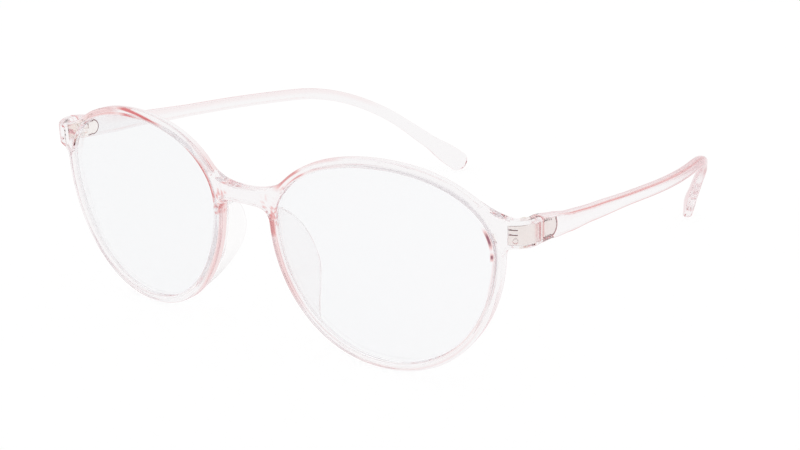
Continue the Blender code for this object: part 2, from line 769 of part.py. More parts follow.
def look(name, colour, alpha, roughness, metallic=0.0, transmission=0.0):
    """Principled material."""
    material = bpy.data.materials.new(name)
    material.use_nodes = True
    shader = material.node_tree.nodes["Principled BSDF"]
    shader.inputs["Base Color"].default_value = (*colour, 1.0)
    shader.inputs["Roughness"].default_value = roughness
    shader.inputs["Metallic"].default_value = metallic
    shader.inputs["Transmission Weight"].default_value = transmission
    shader.inputs["Alpha"].default_value = alpha
    material.diffuse_color = (*colour, alpha)
    return material


LOOKS = {
    "front_frame": ((0.93, 0.72, 0.72), 0.5, 0.06, 0.0, 0.9),
    "lens": ((0.86, 0.91, 0.94), 0.2, 0.02, 0.0, 1.0),
    "nose_pad": ((0.92, 0.92, 0.93), 0.35, 0.08, 0.0, 0.9),
    "hinge_front_leaf": ((0.72, 0.66, 0.58), 1.0, 0.3, 1.0, 0.0),
    "hinge_temple_leaf": ((0.74, 0.67, 0.58), 1.0, 0.3, 1.0, 0.0),
    "hinge_screw": ((0.62, 0.61, 0.6), 1.0, 0.25, 1.0, 0.0),
    "temple": ((0.93, 0.74, 0.74), 0.5, 0.06, 0.0, 0.9),
}


def finish(pieces):
    """Lean, place, scale, shade and colour the pieces, with moving ones turning about their hinge."""
    lean = rest_angle(pieces)
    turn = Matrix.Rotation(lean, 4, "X")
    for body in pieces.values():
        body.data.transform(turn)
    everything = np.vstack([points_of(body) for body in pieces.values()])
    low, high = everything.min(axis=0), everything.max(axis=0)
    shift = Vector((0.0, -(low[1] + high[1]) / 2, -low[2]))
    for name, body in pieces.items():
        base = name.replace("_left", "").replace("_right", "")
        side = -1 if name.endswith("_right") else 1
        centre = Vector((0.0, 0.0, 0.0))
        if base != "front_frame" and not base.startswith(("lens", "nose")):
            centre = turn @ Vector((side * HINGE_X, HINGE_Y, HINGE_Z)) + shift
        body.data.transform(Matrix.Scale(MM, 4) @ Matrix.Translation(shift - centre))
        body.location = centre * MM
        for face in body.data.polygons:
            face.use_smooth = True
        body.data.set_sharp_from_angle(angle=math.radians(40))
        body.data.materials.clear()
        body.data.materials.append(look(name, *LOOKS[base]))
    axis = turn @ Vector((0.0, 0.0, 1.0))
    pivot = (turn @ Vector((HINGE_X, HINGE_Y, HINGE_Z)) + shift) * MM
    print("lean", round(math.degrees(lean), 4), "axis", [round(a, 6) for a in axis])
    print("left hinge", [round(a, 6) for a in pivot], "size", [round(float(a), 3) for a in high - low])
    print("shift", [round(a, 3) for a in shift])


finish(build_pieces())
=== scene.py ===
"""Looks for the clear pink glasses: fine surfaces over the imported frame, materials, studio and camera."""
import json
import math

import bmesh
import bpy
import numpy as np
from mathutils import Euler, Matrix, Vector, geometry, noise


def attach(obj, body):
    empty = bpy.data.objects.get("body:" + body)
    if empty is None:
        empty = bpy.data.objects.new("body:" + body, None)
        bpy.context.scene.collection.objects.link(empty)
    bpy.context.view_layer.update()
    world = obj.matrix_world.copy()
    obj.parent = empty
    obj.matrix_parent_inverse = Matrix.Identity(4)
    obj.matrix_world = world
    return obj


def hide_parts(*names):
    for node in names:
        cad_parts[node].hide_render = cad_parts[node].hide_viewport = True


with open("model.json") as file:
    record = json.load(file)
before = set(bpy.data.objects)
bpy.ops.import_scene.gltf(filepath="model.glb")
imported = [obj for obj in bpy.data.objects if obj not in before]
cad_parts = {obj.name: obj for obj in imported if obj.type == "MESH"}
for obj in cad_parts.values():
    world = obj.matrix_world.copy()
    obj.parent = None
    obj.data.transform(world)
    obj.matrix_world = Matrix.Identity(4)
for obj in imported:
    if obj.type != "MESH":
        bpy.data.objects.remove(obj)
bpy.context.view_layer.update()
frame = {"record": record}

MM = 0.001

# Sizes of the model, in millimetres, in the front's upright frame: X left, Y back, Z up, bridge at the origin
LENS_CENTRE = 33.35
RIM_HALF_WIDTH = 26.5
RIM_TOP = 17.14
RIM_BOTTOM = 27.68
SIDE_EXPONENT = 0.95
EGG_SLOPE = 0.05
EGG_CORNER = 0.018
WRAP_ANGLE = math.radians(6.96)
RIM_WIDTH = 1.75
RIM_DEPTH = 2.8
OUTER_ROUND = 0.9
INNER_ROUND = 0.35
GROOVE_DEPTH = 0.6
GROOVE_MOUTH = 0.75
GROOVE_FLOOR = 0.28
BRIDGE_TOP = 6.8
BRIDGE_BOTTOM = 3.0
BRIDGE_TOP_ANGLE = math.radians(146)
BRIDGE_BOTTOM_ANGLE = math.radians(178)
BRIDGE_BLEND = 7.0
BRIDGE_SETBACK = 0.43
END_BOTTOM = 3.4
SEAM_TOP = 9.0
END_TOP_END = 63.0
SEAM_Y = 13.4
SEAM_GAP = 0.2
END_TOP_ANGLE = math.radians(47)
END_BOTTOM_ANGLE = math.radians(4)
END_DEPTH = 3.0
CORNER_START = 60.6
CORNER_RADIUS = 5.2
CORNER_TURN = math.radians(81)
LENS_THICKNESS = 1.7
LENS_BULGE = 1.7
LENS_EDGE_INSET = 1.95
BEVEL_REACH = 0.62
BEVEL_ROOT = 0.5
BEVEL_TIP = 0.12
PAD_TOP = 2.5
PAD_LENGTH = 23.5
PAD_REACH = 8.4
PAD_SPLAY = 0.16
PAD_OFFSET = 0.9
PAD_THICKNESS = 1.6
PAD_GAP = 0.1
TEMPLE_LENGTH = 141.5
TEMPLE_X = 63.3
TEMPLE_Z = 5.45
HEAD_LIFT = 0.75
PITCH_START = math.radians(7.1)
PITCH_END = math.radians(43.7)
BEND_START = 78.0
BEND_END = 117.5
SPLAY_OUT = math.radians(-0.58)
INWARD_ANGLE = math.radians(24.4)
INWARD_START = 48.0
INWARD_END = 109.0
TIP_ROUND = 2.6
TEMPLE_HEIGHTS = ((0, 5.6), (6, 5.0), (12, 4.3), (22, 3.6), (40, 3.0), (94, 2.95),
                  (115, 3.2), (126, 3.9), (135.5, 5.8), (141.5, 5.9))
TEMPLE_WIDTHS = ((0, 2.9), (6, 2.75), (12, 2.5), (23, 2.3), (40, 2.1), (94, 2.2), (141.5, 2.4))
HINGE_X = 60.45
HINGE_Y = 13.95
HINGE_Z = 6.0
BARREL_RADIUS = 1.1
KNUCKLE = 0.95
KNUCKLE_GAP = 0.12
PIN_RADIUS = 0.55
PIN_CLEARANCE = 0.05
HEAD_RADIUS = 0.75
LEAF_THICKNESS = 0.6
LEAF_PROUD = 0.25
FRONT_LEAF_START = 60.7
FRONT_LEAF_END_GAP = 0.3
FRONT_LEAF_SINK = 1.7
FRONT_LEAF_HEIGHT = 3.7
TEMPLE_LEAF_LENGTH = 6.6
TEMPLE_LEAF_HEIGHT = 3.6
TEMPLE_LEAF_DROP = 0.25
COMB_SLOTS = (1.2, 0.2)
COMB_SLOT = 0.35
COMB_LENGTH = 2.3
PEG_AT = 62.5
PEG_UP = -0.9
PEG_RADIUS = 0.42
PEG_LENGTH = 0.8
FIT = 0.08
SCREW_SLOT = 0.24
EDGE_BAND = 0.22

# Fineness of the visible surfaces
RIM_POINTS = 320
SPACING = 0.5
PLATE_STEPS = 24
COMB_STEPS = 8
PEG_SIDES = 32

# Streaks of tint painted on the rims, listed here: side, first and last angle round the lens in degrees from
# the temple over the top, first and last inset from the rim's edge, first and last depth, how far the streak
# drifts inwards along its length, and strength. They stand in for bands made by refraction, so they suit the
# camera below and aren't a known feature of the object. STREAK_EASE is the share of its length over which a
# streak fades, and EDGE_EASE the distance over which its sides do.
STREAK_EASE = 0.22
EDGE_EASE = 0.12
# Painted refraction: each row paints a band of deeper colour where refraction makes one, not dye.
PAINTED_REFRACTION_STREAKS = (
    (1, 146, 161, -0.6, 0.6, -1.0, 0.9, 0.0, 0.9),
    (1, 120, 146, -0.6, 0.4, -1.0, 0.9, 0.0, 0.2),
    (1, 116, 168, 1.05, 1.35, -1.0, 0.9, 0.0, 0.5),
    (1, 128, 170, 1.6, 9.0, 2.3, 4.0, 0.0, 0.3),
    (1, 177, 186, -0.3, 1.6, -1.0, 0.9, 0.0, 0.85),
    (1, 184, 220, -0.1, 1.7, -1.0, 0.9, 0.0, 0.36),
    (1, 206, 238, -0.3, 0.45, -1.0, 0.9, 0.0, 0.3),
    (1, 238, 325, 0.5, 0.9, -1.0, 0.9, 0.0, 0.18),
    (1, 300, 345, 1.45, 1.9, -1.0, 0.9, 0.0, 0.22),
    (-1, 70, 115, -0.2, 0.3, -1.0, 1.2, 0.95, 1.2),
    (-1, 30, 68, -0.3, 1.4, -1.0, 1.2, 0.0, 0.4),
    (-1, 60, 84, -0.3, 0.5, -1.0, 1.0, 0.0, 0.3),
    (-1, 150, 232, -0.5, 0.5, 0.5, 2.6, 0.0, 0.32),
    (-1, 153, 174, 1.25, 1.9, -1.0, 0.9, 0.0, 0.85),
    (-1, 144, 157, 1.6, 9.0, 0.5, 1.6, 0.0, 0.7),
)

# Camera, in the drawing frame: place, turn in degrees and focal length.
VIEW_POINT = (199.3, -217.1, 109.1)
VIEW_TURN = (69.1667, 1.3361, 35.5804)
VIEW_LENS = 67.632

# Studio floor in metres: half its side, and how far it lies below the glasses.
FLOOR_HALF = 4
FLOOR_GAP = 0.00002

fold = next(j for j in frame["record"]["behaviour"]["joints"] if j["name"] == "temple_left_fold")
LEAN = math.atan2(-fold["axis"][1], fold["axis"][2])
TILT = Matrix.Rotation(LEAN, 4, "X")
SHIFT = Vector(fold["pos_m"]) / MM - TILT @ Vector((HINGE_X, HINGE_Y, HINGE_Z))
PLACE = Matrix.Scale(MM, 4) @ Matrix.Translation(SHIFT) @ TILT


def smooth(value, low, high):
    """Ease from 0 at low to 1 at high."""
    part = np.clip((value - low) / (high - low), 0.0, 1.0)
    return part * part * (3.0 - 2.0 * part)


def profile_at(table, value):
    """Smoothly read a table of (distance, size) pairs."""
    for (start, size), (end, next_size) in zip(table, table[1:]):
        if value <= end:
            return size + (next_size - size) * float(smooth(value, start, end))
    return table[-1][1]


# ---------------------------------------------------------------- the front


def rim_point(angle):
    """Outer edge of a rim, flat, relative to the lens centre."""
    c = math.cos(angle)
    s = math.sin(angle)
    side = math.copysign(abs(c) ** SIDE_EXPONENT, c) * (1 + EGG_SLOPE * s + EGG_CORNER * s * s)
    return np.array([RIM_HALF_WIDTH * side, (RIM_TOP if s > 0 else RIM_BOTTOM) * s])


def even(points, count):
    """Resample a closed outline at even steps."""
    loop = np.vstack([points, points[:1]])
    length = np.concatenate([[0.0], np.cumsum(np.linalg.norm(np.diff(loop, axis=0), axis=1))])
    steps = np.linspace(0.0, length[-1], count + 1)[:-1]
    return np.stack([np.interp(steps, length, loop[:, axis]) for axis in (0, 1)], axis=1)


def inset(loop, distance):
    """Move a closed anticlockwise outline inwards."""
    tangent = np.roll(loop, -1, axis=0) - np.roll(loop, 1, axis=0)
    tangent /= np.linalg.norm(tangent, axis=1)[:, None]
    return loop + distance * np.stack([-tangent[:, 1], tangent[:, 0]], axis=1)


def relaxed(loop, rounds):
    """Closed outline with small kinks smoothed out."""
    for _ in range(rounds):
        loop = 0.5 * loop + 0.25 * (np.roll(loop, 1, axis=0) + np.roll(loop, -1, axis=0))
    return loop


def rim_loop(distance, count):
    """Closed rim outline, moved inwards from the outer edge."""
    dense = np.array([rim_point(angle) for angle in np.linspace(0, 2 * math.pi, 1441)[:-1]])
    return even(inset(relaxed(even(dense, 1440), 12), distance), count)


def bezier(p0, p1, p2, p3, count):
    """Points of a cubic curve, without its first point."""
    t = np.linspace(0, 1, count + 1)[1:, None]
    p0, p1, p2, p3 = (np.array(p, float) for p in (p0, p1, p2, p3))
    return (1 - t) ** 3 * p0 + 3 * (1 - t) ** 2 * t * p1 + 3 * (1 - t) * t * t * p2 + t ** 3 * p3


def rim_tangent(angle):
    """Unit direction of the rim outline as the angle grows."""
    step = rim_point(angle + 0.01) - rim_point(angle - 0.01)
    return step / np.linalg.norm(step)


def front_outline():
    """Half of the front's outer edge, anticlockwise from the bridge underside to the bridge top."""
    centre = np.array([LENS_CENTRE, 0.0])
    end_s = seam_distance() + 2.5
    low = rim_point(BRIDGE_BOTTOM_ANGLE) + centre
    low_dir = rim_tangent(BRIDGE_BOTTOM_ANGLE)
    parts = [bezier((0, BRIDGE_BOTTOM), (3.6, BRIDGE_BOTTOM), low - 2.6 * low_dir, low, 40)]
    angles = np.linspace(BRIDGE_BOTTOM_ANGLE, 2 * math.pi + END_BOTTOM_ANGLE, 600)[1:]
    parts.append(np.array([rim_point(angle) + centre for angle in angles]))
    turn = parts[-1][-1]
    turn_dir = rim_tangent(END_BOTTOM_ANGLE)
    parts.append(bezier(turn, turn + 1.8 * turn_dir, (60.3, END_BOTTOM), (61.9, END_BOTTOM), 30))
    arc = np.linspace(0, math.pi / 2, 12)
    parts.append(np.stack([end_s - 2.2 + 2.2 * np.sin(arc), END_BOTTOM + 2.2 - 2.2 * np.cos(arc)], axis=1))
    parts.append(np.stack([end_s - 2.2 + 2.2 * np.cos(arc), SEAM_TOP - 2.2 + 2.2 * np.sin(arc)], axis=1))
    top = rim_point(END_TOP_ANGLE) + centre
    top_dir = rim_tangent(END_TOP_ANGLE)
    parts.append(np.array([[END_TOP_END, SEAM_TOP]]))
    shoulder = (END_TOP_END - 3.5, SEAM_TOP + 0.1)
    parts.append(bezier((END_TOP_END, SEAM_TOP), shoulder, top - 4.5 * top_dir, top, 50))
    angles = np.linspace(END_TOP_ANGLE, BRIDGE_TOP_ANGLE, 300)[1:]
    parts.append(np.array([rim_point(angle) + centre for angle in angles]))
    start = parts[-1][-1]
    start_dir = rim_tangent(BRIDGE_TOP_ANGLE)
    parts.append(bezier(start, start + 3.2 * start_dir, (4.0, BRIDGE_TOP), (0, BRIDGE_TOP), 40)[:-1])
    return np.vstack(parts)


def path_table():
    """Plan curve of the front face: distance, X, Y and heading, from the middle outwards."""
    distance = np.linspace(0.0, 80.0, 4001)
    heading = WRAP_ANGLE * np.clip(distance / BRIDGE_BLEND, 0, 1)
    heading = heading + np.clip((distance - CORNER_START) / CORNER_RADIUS, 0, CORNER_TURN)
    step = distance[1]
    x = np.concatenate([[0.0], np.cumsum(np.cos(heading[:-1]) * step)])
    y = np.concatenate([[0.0], np.cumsum(np.sin(heading[:-1]) * step)]) + BRIDGE_SETBACK
    return distance, x, y, heading


PATH = path_table()


def seam_distance():
    """Distance along the front face at which it reaches the butt joint."""
    return float(PATH[0][np.searchsorted(PATH[2], SEAM_Y)])


def bend(s, z, depth):
    """Place flat front coordinates on the wrapped front. Depth 0 is the front face, 1 the back."""
    side = np.sign(s)
    reach = np.abs(s)
    distance, x, y, heading = PATH
    angle = np.interp(reach, distance, heading)
    thick = RIM_DEPTH + (END_DEPTH - RIM_DEPTH) * smooth(reach, 50.0, 56.5)
    px = np.interp(reach, distance, x) - np.sin(angle) * depth * thick
    py = np.interp(reach, distance, y) + np.cos(angle) * depth * thick
    return np.stack([np.where(side < 0, -px, px), py, z], axis=-1)


def unwrapped(points):
    """Flat distance and depth, in millimetres, of points on the wrapped front, taken on the left side."""
    distance, x, y, heading = (column[::5] for column in PATH)
    path = np.stack([x, y], axis=1)
    plan = np.stack([np.abs(points[:, 0]), points[:, 1]], axis=1)
    near = np.array([np.argmin(((path - p) ** 2).sum(axis=1)) for p in plan])
    offset = plan - path[near]
    cos = np.cos(heading[near])
    sin = np.sin(heading[near])
    return distance[near] + offset[:, 0] * cos + offset[:, 1] * sin, offset[:, 1] * cos - offset[:, 0] * sin


def window(value, low, high, ease):
    """1 between two values, easing to 0 outside them."""
    return smooth(value, low - ease, low + ease) * (1 - smooth(value, high - ease, high + ease))


def rim_place(s, z):
    """Angle round the lens in degrees, and inset from the rim's outer edge, of flat points."""
    flat = np.stack([s - LENS_CENTRE, z], axis=1)
    loop = rim_loop(0.0, 720)
    near = np.array([np.argmin(((loop - p) ** 2).sum(axis=1)) for p in flat])
    gap = np.linalg.norm(flat - loop[near], axis=1)
    within = np.linalg.norm(flat, axis=1) < np.linalg.norm(loop[near], axis=1)
    return np.degrees(np.arctan2(z, flat[:, 0])) % 360, np.where(within, gap, -gap)


def front_painted_streaks_and_joints(points):
    """Painted tint at points of the front: painted refraction streaks in the rims, dark lines at the butt
    joints, and a speckled patch on the upper bridge by each rim.
    """
    s, depth = unwrapped(points)
    angle, inset_by = rim_place(s, points[:, 2])
    painted_light_and_joints = np.zeros(len(points))
    # Painted refraction streaks in the rims.
    for side, first, last, shallow, deep, front, back, drift, strength in PAINTED_REFRACTION_STREAKS:
        along = window(angle, first, last, STREAK_EASE * (last - first))
        across = inset_by - drift * (angle - first) / (last - first)
        patch = along * window(across, shallow, deep, EDGE_EASE) * window(depth, front, back, 0.2)
        painted_light_and_joints = np.maximum(painted_light_and_joints, np.where(points[:, 0] * side > 0, patch * strength, 0.0))
    joint = smooth(points[:, 1], SEAM_Y - 0.12, SEAM_Y - 0.02)
    speckle = np.array([noise.noise(Vector(p) * 1.3) for p in points])
    height = points[:, 2]
    ends = window(s, 5.6, 9.4, 0.6) * window(height + 0.5 * s, 3.2, 8.4, 0.8)
    painted_light_and_joints = np.maximum(painted_light_and_joints, 0.5 * joint)
    return np.maximum(painted_light_and_joints, 0.75 * ends * smooth(speckle, 0.18, 0.4))


def temple_painted_edges_and_joint(points):
    """Painted tint at points of a temple: painted refraction lines along its rounded edges, stronger on the
    lower one, and a dark line at its front end.
    """
    fine, line, pitch, inward = temple_line()
    near = np.array([np.argmin(((line[::5] - p) ** 2).sum(axis=1)) for p in points]) * 5
    near = np.minimum(near, len(fine) - 1)
    offset = points - line[near]
    up = offset[:, 2] / np.cos(pitch[near])
    out = offset[:, 0] / np.cos(inward[near])
    tall = np.array([profile_at(TEMPLE_HEIGHTS, fine[i]) for i in near]) / 2
    wide = np.array([profile_at(TEMPLE_WIDTHS, fine[i]) for i in near]) / 2
    rise = (np.abs(up) - tall + 0.9) / 0.9
    reach = (out - wide + 0.9) / 0.9
    corner = smooth(np.minimum(rise, reach), 0.3, 0.6)
    inner = smooth(up / tall, -0.1, 0.7) * smooth(-out / wide, 0.2, 0.9)
    along = window(fine[near], 9.0, 105.0, 5.0)
    end = 1 - smooth(fine[near], 0.05, 0.3)
    # Painted refraction lines on the rounded corners, darker on the lower edge; a dark line at the front end
    # where it meets the front.
    edge = np.where(up < 0, 0.7, 0.45) * corner
    return np.maximum(np.maximum(edge, 0.12 * inner) * along, 0.45 * end)


def no_painted_reflection(points):
    """No painted reflection."""
    return np.zeros(len(points))


def lens_painted_reflection(points):
    """Painted reflection at points of the left lens: two patches and an arc by its temple side, dark red
    where the rim's groove shows in the lens.
    """
    s, depth = unwrapped(points)
    angle, inset_by = rim_place(s, points[:, 2])
    turn = (angle + 180) % 360 - 180
    along = np.maximum(window(turn, 7.0, 15.0, 2.5), window(turn, 1.0, 4.0, 1.0))
    arc = along * window(inset_by, 2.05, 2.7, EDGE_EASE)
    low_arc = window(turn, -16.0, 2.0, 4.0) * window(inset_by, 1.9, 2.25, EDGE_EASE)
    return np.maximum(arc, 0.2 * low_arc) * (1 - smooth(depth, 1.0, 1.4))


def inside(point, loop):
    """True when a flat point lies inside a closed outline."""
    x, y = point
    a = loop
    b = np.roll(loop, -1, axis=0)
    spans = (a[:, 1] > y) != (b[:, 1] > y)
    cross = a[spans, 0] + (y - a[spans, 1]) * (b[spans, 0] - a[spans, 0]) / (b[spans, 1] - a[spans, 1])
    return int((cross > x).sum()) % 2 == 1


def flat_fill(outer, holes):
    """Triangulate the flat region between an outline and its holes, with points across the wide parts."""
    loops = [outer] + holes
    everything = np.vstack(loops)
    points = []
    edges = []
    for loop in loops:
        start = len(points)
        points += [tuple(p) for p in loop]
        edges += [(start + i, start + (i + 1) % len(loop)) for i in range(len(loop))]
    border = len(points)
    for s in np.arange(-70.0, 70.1, 0.5):
        for z in np.arange(2.0, 13.0, 0.5):
            point = np.array([s, z])
            near = np.hypot(*(everything - point).T).min()
            if near > 0.3 and inside(point, outer) and not any(inside(point, h) for h in holes):
                points.append((s, z))
    found = geometry.delaunay_2d_cdt([Vector(p) for p in points], edges, [], 0, 1e-6)
    source = [origins[0] for origins in found[3]]
    faces = []
    for face in found[2]:
        middle = np.mean([points[source[i]] for i in face], axis=0)
        if inside(middle, outer) and not any(inside(middle, h) for h in holes):
            faces.append([source[i] for i in face])
    return np.array(points), faces, border


def edge_profile():
    """Outer edge from the back face round to the front face: (inset, depth) pairs."""
    steps = np.linspace(0, math.pi / 2, 11)
    r = OUTER_ROUND
    back = [(r - r * math.sin(a), RIM_DEPTH - r + r * math.cos(a)) for a in steps]
    flank = [(0.0, d) for d in np.linspace(RIM_DEPTH - r, r, 6)[1:-1]]
    front = [(r - r * math.cos(a), r - r * math.sin(a)) for a in steps]
    return back + flank + front


def aperture_profile():
    """Lens opening from the front face round to the back face, with its groove: (inset, depth) pairs."""
    r = INNER_ROUND
    w = RIM_WIDTH
    mid = RIM_DEPTH / 2
    steps = np.linspace(0, math.pi / 2, 6)
    edge = [(w - r + r * math.sin(a), r - r * math.cos(a)) for a in steps] + [(w, mid - GROOVE_MOUTH)]
    narrowing = GROOVE_MOUTH - GROOVE_FLOOR
    slope = [(w - GROOVE_DEPTH * t, mid - GROOVE_MOUTH + narrowing * t) for t in (0.04, 0.5, 0.96, 1.0)]
    half = edge + slope
    return half + [(reach, RIM_DEPTH - depth) for reach, depth in reversed(half)]


def front_mesh():
    """Vertices and faces of the whole front before the cuts."""
    half = front_outline()
    full = np.vstack([half, (half * [-1, 1])[::-1]])
    perimeter = np.linalg.norm(np.diff(np.vstack([full, full[:1]]), axis=0), axis=1).sum()
    outline = relaxed(even(full, int(perimeter / SPACING) // 2 * 2), 6)
    centre = np.array([LENS_CENTRE, 0.0])
    verts = []
    faces = []

    def add_rings(rings):
        """Join rings of (flat loop, depth) and return the index ranges of the rings."""
        starts = []
        for loop, depth in rings:
            starts.append(len(verts))
            verts.extend([p[0], p[1], depth / RIM_DEPTH] for p in loop)
        count = len(rings[0][0])
        for a, b in zip(starts, starts[1:]):
            for i in range(count):
                j = (i + 1) % count
                faces.append([a + i, a + j, b + j, b + i])
        return starts, count

    outer_starts, outer_count = add_rings([(inset(outline, o), d) for o, d in edge_profile()])
    holes = []
    for side in (1, -1):
        rings = []
        for distance, depth in aperture_profile():
            loop = (rim_loop(distance, RIM_POINTS) + centre) * [side, 1]
            rings.append((loop[::-1] if side == 1 else loop, depth))
        holes.append(add_rings(rings))
    outer_inner = np.array([v[:2] for v in verts[outer_starts[0]:outer_starts[0] + outer_count]])
    hole_loops = [np.array([v[:2] for v in verts[st[0]:st[0] + n]]) for st, n in holes]
    points, triangles, border = flat_fill(outer_inner, hole_loops)
    for back in (True, False):
        first = outer_starts[0 if back else -1]
        index = list(range(first, first + outer_count))
        for starts, count in holes:
            first = starts[-1 if back else 0]
            index += list(range(first, first + count))
        for p in points[border:]:
            index.append(len(verts))
            verts.append([p[0], p[1], 1.0 if back else 0.0])
        for triangle in triangles:
            faces.append([index[i] for i in (reversed(triangle) if back else triangle)])
    flat = np.array(verts)
    return bend(flat[:, 0], flat[:, 1], flat[:, 2]), faces


# ---------------------------------------------------------------- lofts and simple solids


def loft(rings):
    """Vertices and faces of a closed tube through equal rings of points."""
    count = len(rings[0])
    verts = np.vstack(rings)
    faces = []
    for k in range(len(rings) - 1):
        for i in range(count):
            j = (i + 1) % count
            faces.append([k * count + i, k * count + j, (k + 1) * count + j, (k + 1) * count + i])
    faces.append(list(range(count))[::-1])
    faces.append(list(range((len(rings) - 1) * count, len(rings) * count)))
    return verts, faces


def rounded_box_section(width, height, radius, per_corner=9, per_side=3):
    """Closed section as (across, up) pairs."""
    radius = min(radius, 0.49 * width, 0.49 * height)
    corners = []
    for corner, (sx, sz) in enumerate(((1, 1), (-1, 1), (-1, -1), (1, -1))):
        for step in range(per_corner):
            angle = math.pi / 2 * (corner + step / (per_corner - 1))
            corners.append((sx * (width / 2 - radius) + radius * math.cos(angle),
                            sz * (height / 2 - radius) + radius * math.sin(angle)))
    points = []
    for k in range(4):
        points += corners[k * per_corner:(k + 1) * per_corner]
        a = np.array(points[-1])
        b = np.array(corners[((k + 1) * per_corner) % len(corners)])
        points += [tuple(a + (b - a) * t) for t in np.linspace(0, 1, per_side + 2)[1:-1]]
    return np.array(points)


def cylinder(centre, radius, low, high, count=48):
    """Upright cylinder."""
    angles = np.linspace(0, 2 * math.pi, count, endpoint=False)
    x = centre[0] + radius * np.cos(angles)
    y = centre[1] + radius * np.sin(angles)
    return loft([np.stack([x, y, np.full(count, z)], axis=1) for z in (low, high)])


def prism(outline, low, high):
    """Flat (x, y) outline raised along Z."""
    outline = np.array(outline, float)
    return loft([np.column_stack([outline, np.full(len(outline), z)]) for z in (low, high)])


def moved(solid, matrix):
    """Solid moved by a 4x4 matrix."""
    verts, faces = solid
    return np.array([matrix @ Vector(v) for v in verts]), faces


def mirrored(solid):
    """Solid reflected to the other side."""
    verts, faces = solid
    return np.array(verts) * [-1, 1, 1], [list(reversed(face)) for face in faces]


def on_side(solid, side):
    """Left-hand solid, reflected when the right side is wanted."""
    return solid if side == 1 else mirrored(solid)


# ---------------------------------------------------------------- pieces


def lens_solid(side):
    """Plano lens with a bevelled edge that sits in the rim's groove."""
    centre_z = (RIM_TOP - RIM_BOTTOM) / 2
    body = rim_loop(LENS_EDGE_INSET, RIM_POINTS)
    ridge = rim_loop(LENS_EDGE_INSET - BEVEL_REACH, RIM_POINTS)
    mid = RIM_DEPTH / 2
    half = LENS_THICKNESS / 2

    def ring(loop, scale, depth):
        """One ring of the lens, placed on the wrapped front."""
        flat = (loop - [0, centre_z]) * scale + [LENS_CENTRE, centre_z]
        drop = LENS_BULGE * (1 - scale * scale)
        level = np.full(len(flat), (mid + depth - drop) / RIM_DEPTH)
        return bend(flat[:, 0], flat[:, 1], level) * [side, 1, 1]

    scales = [0.01] + list(np.linspace(0.08, 0.95, 22)) + list(np.linspace(0.96, 1.0, 9))
    rings = [ring(body, scale, -half) for scale in scales]
    rings += [ring(body, 1.0, -BEVEL_ROOT), ring(ridge, 1.0, -BEVEL_TIP), ring(ridge, 1.0, BEVEL_TIP)]
    rings.append(ring(body, 1.0, BEVEL_ROOT))
    rings += [ring(body, scale, half) for scale in reversed(scales)]
    return loft(rings)


def pad_solid(side):
    """Clear fin that bears on the nose, glued to the back of the rim."""
    rings = []
    for u in np.linspace(0.0, 1.0, 90):
        z = PAD_TOP - PAD_LENGTH * u
        level = math.sin(math.pi * min(max(u, 0.012), 0.988))
        reach = 0.5 + (PAD_REACH - 0.5) * level ** (0.6 if u < 0.5 else 1.2)
        thick = PAD_THICKNESS * (0.35 + 0.65 * min(1.0, 3.2 * math.sin(math.pi * min(max(u, 0.02), 0.98))))
        across, along = pad_section(thick, reach)
        root = bend(np.array([rim_edge_at(z) + PAD_OFFSET]), np.array([z]), np.array([1.0]))[0]
        x = root[0] + across + PAD_SPLAY * along
        y = root[1] + PAD_GAP + along
        rings.append(np.stack([x * side, y, np.full(len(x), z)], axis=1))
    return loft(rings)


def pad_section(thick, reach):
    """Section of the pad across and along its reach: flat root, rounded free edge."""
    half = thick / 2
    low = max(reach - half, 0.0)
    angles = np.linspace(0, math.pi, 21)
    across = [half * math.cos(angle) for angle in angles]
    along = [low + min(half, reach) * math.sin(angle) for angle in angles]
    flank = np.linspace(1, 0, 9)[1:]
    across += [-half] * 8 + [half] * 8
    along += [max(low, 0.1) * t for t in flank] + [max(low, 0.1) * t for t in flank[::-1]]
    return np.array(across), np.array(along)


def rim_edge_at(z):
    """Flat distance from the middle to the rim's nasal outer edge at a height."""
    s = z / (RIM_TOP if z > 0 else RIM_BOTTOM)
    angle = math.pi - math.asin(max(-1.0, min(1.0, s)))
    return float(LENS_CENTRE + rim_point(angle)[0])


def temple_line():
    """Centre line of the left temple: stations, points and section directions."""
    fine = np.linspace(0.0, TEMPLE_LENGTH, 1431)
    droop = np.clip((fine - BEND_START) / (BEND_END - BEND_START), 0, 1)
    pitch = PITCH_START + (PITCH_END - PITCH_START) * droop
    curl = np.clip((fine - INWARD_START) / (INWARD_END - INWARD_START), 0, 1)
    inward = -SPLAY_OUT + (INWARD_ANGLE + SPLAY_OUT) * curl
    ahead = np.cos(inward)
    heading = np.stack([-np.sin(inward), ahead * np.cos(pitch), -ahead * np.sin(pitch)], axis=1)
    start = np.array([TEMPLE_X, SEAM_Y + SEAM_GAP, TEMPLE_Z])
    line = start + np.vstack([[0, 0, 0], np.cumsum(heading[:-1], axis=0) * fine[1]])
    line[:, 2] += HEAD_LIFT * (1 - smooth(fine, 0.0, 14.0))
    return fine, line, pitch, inward


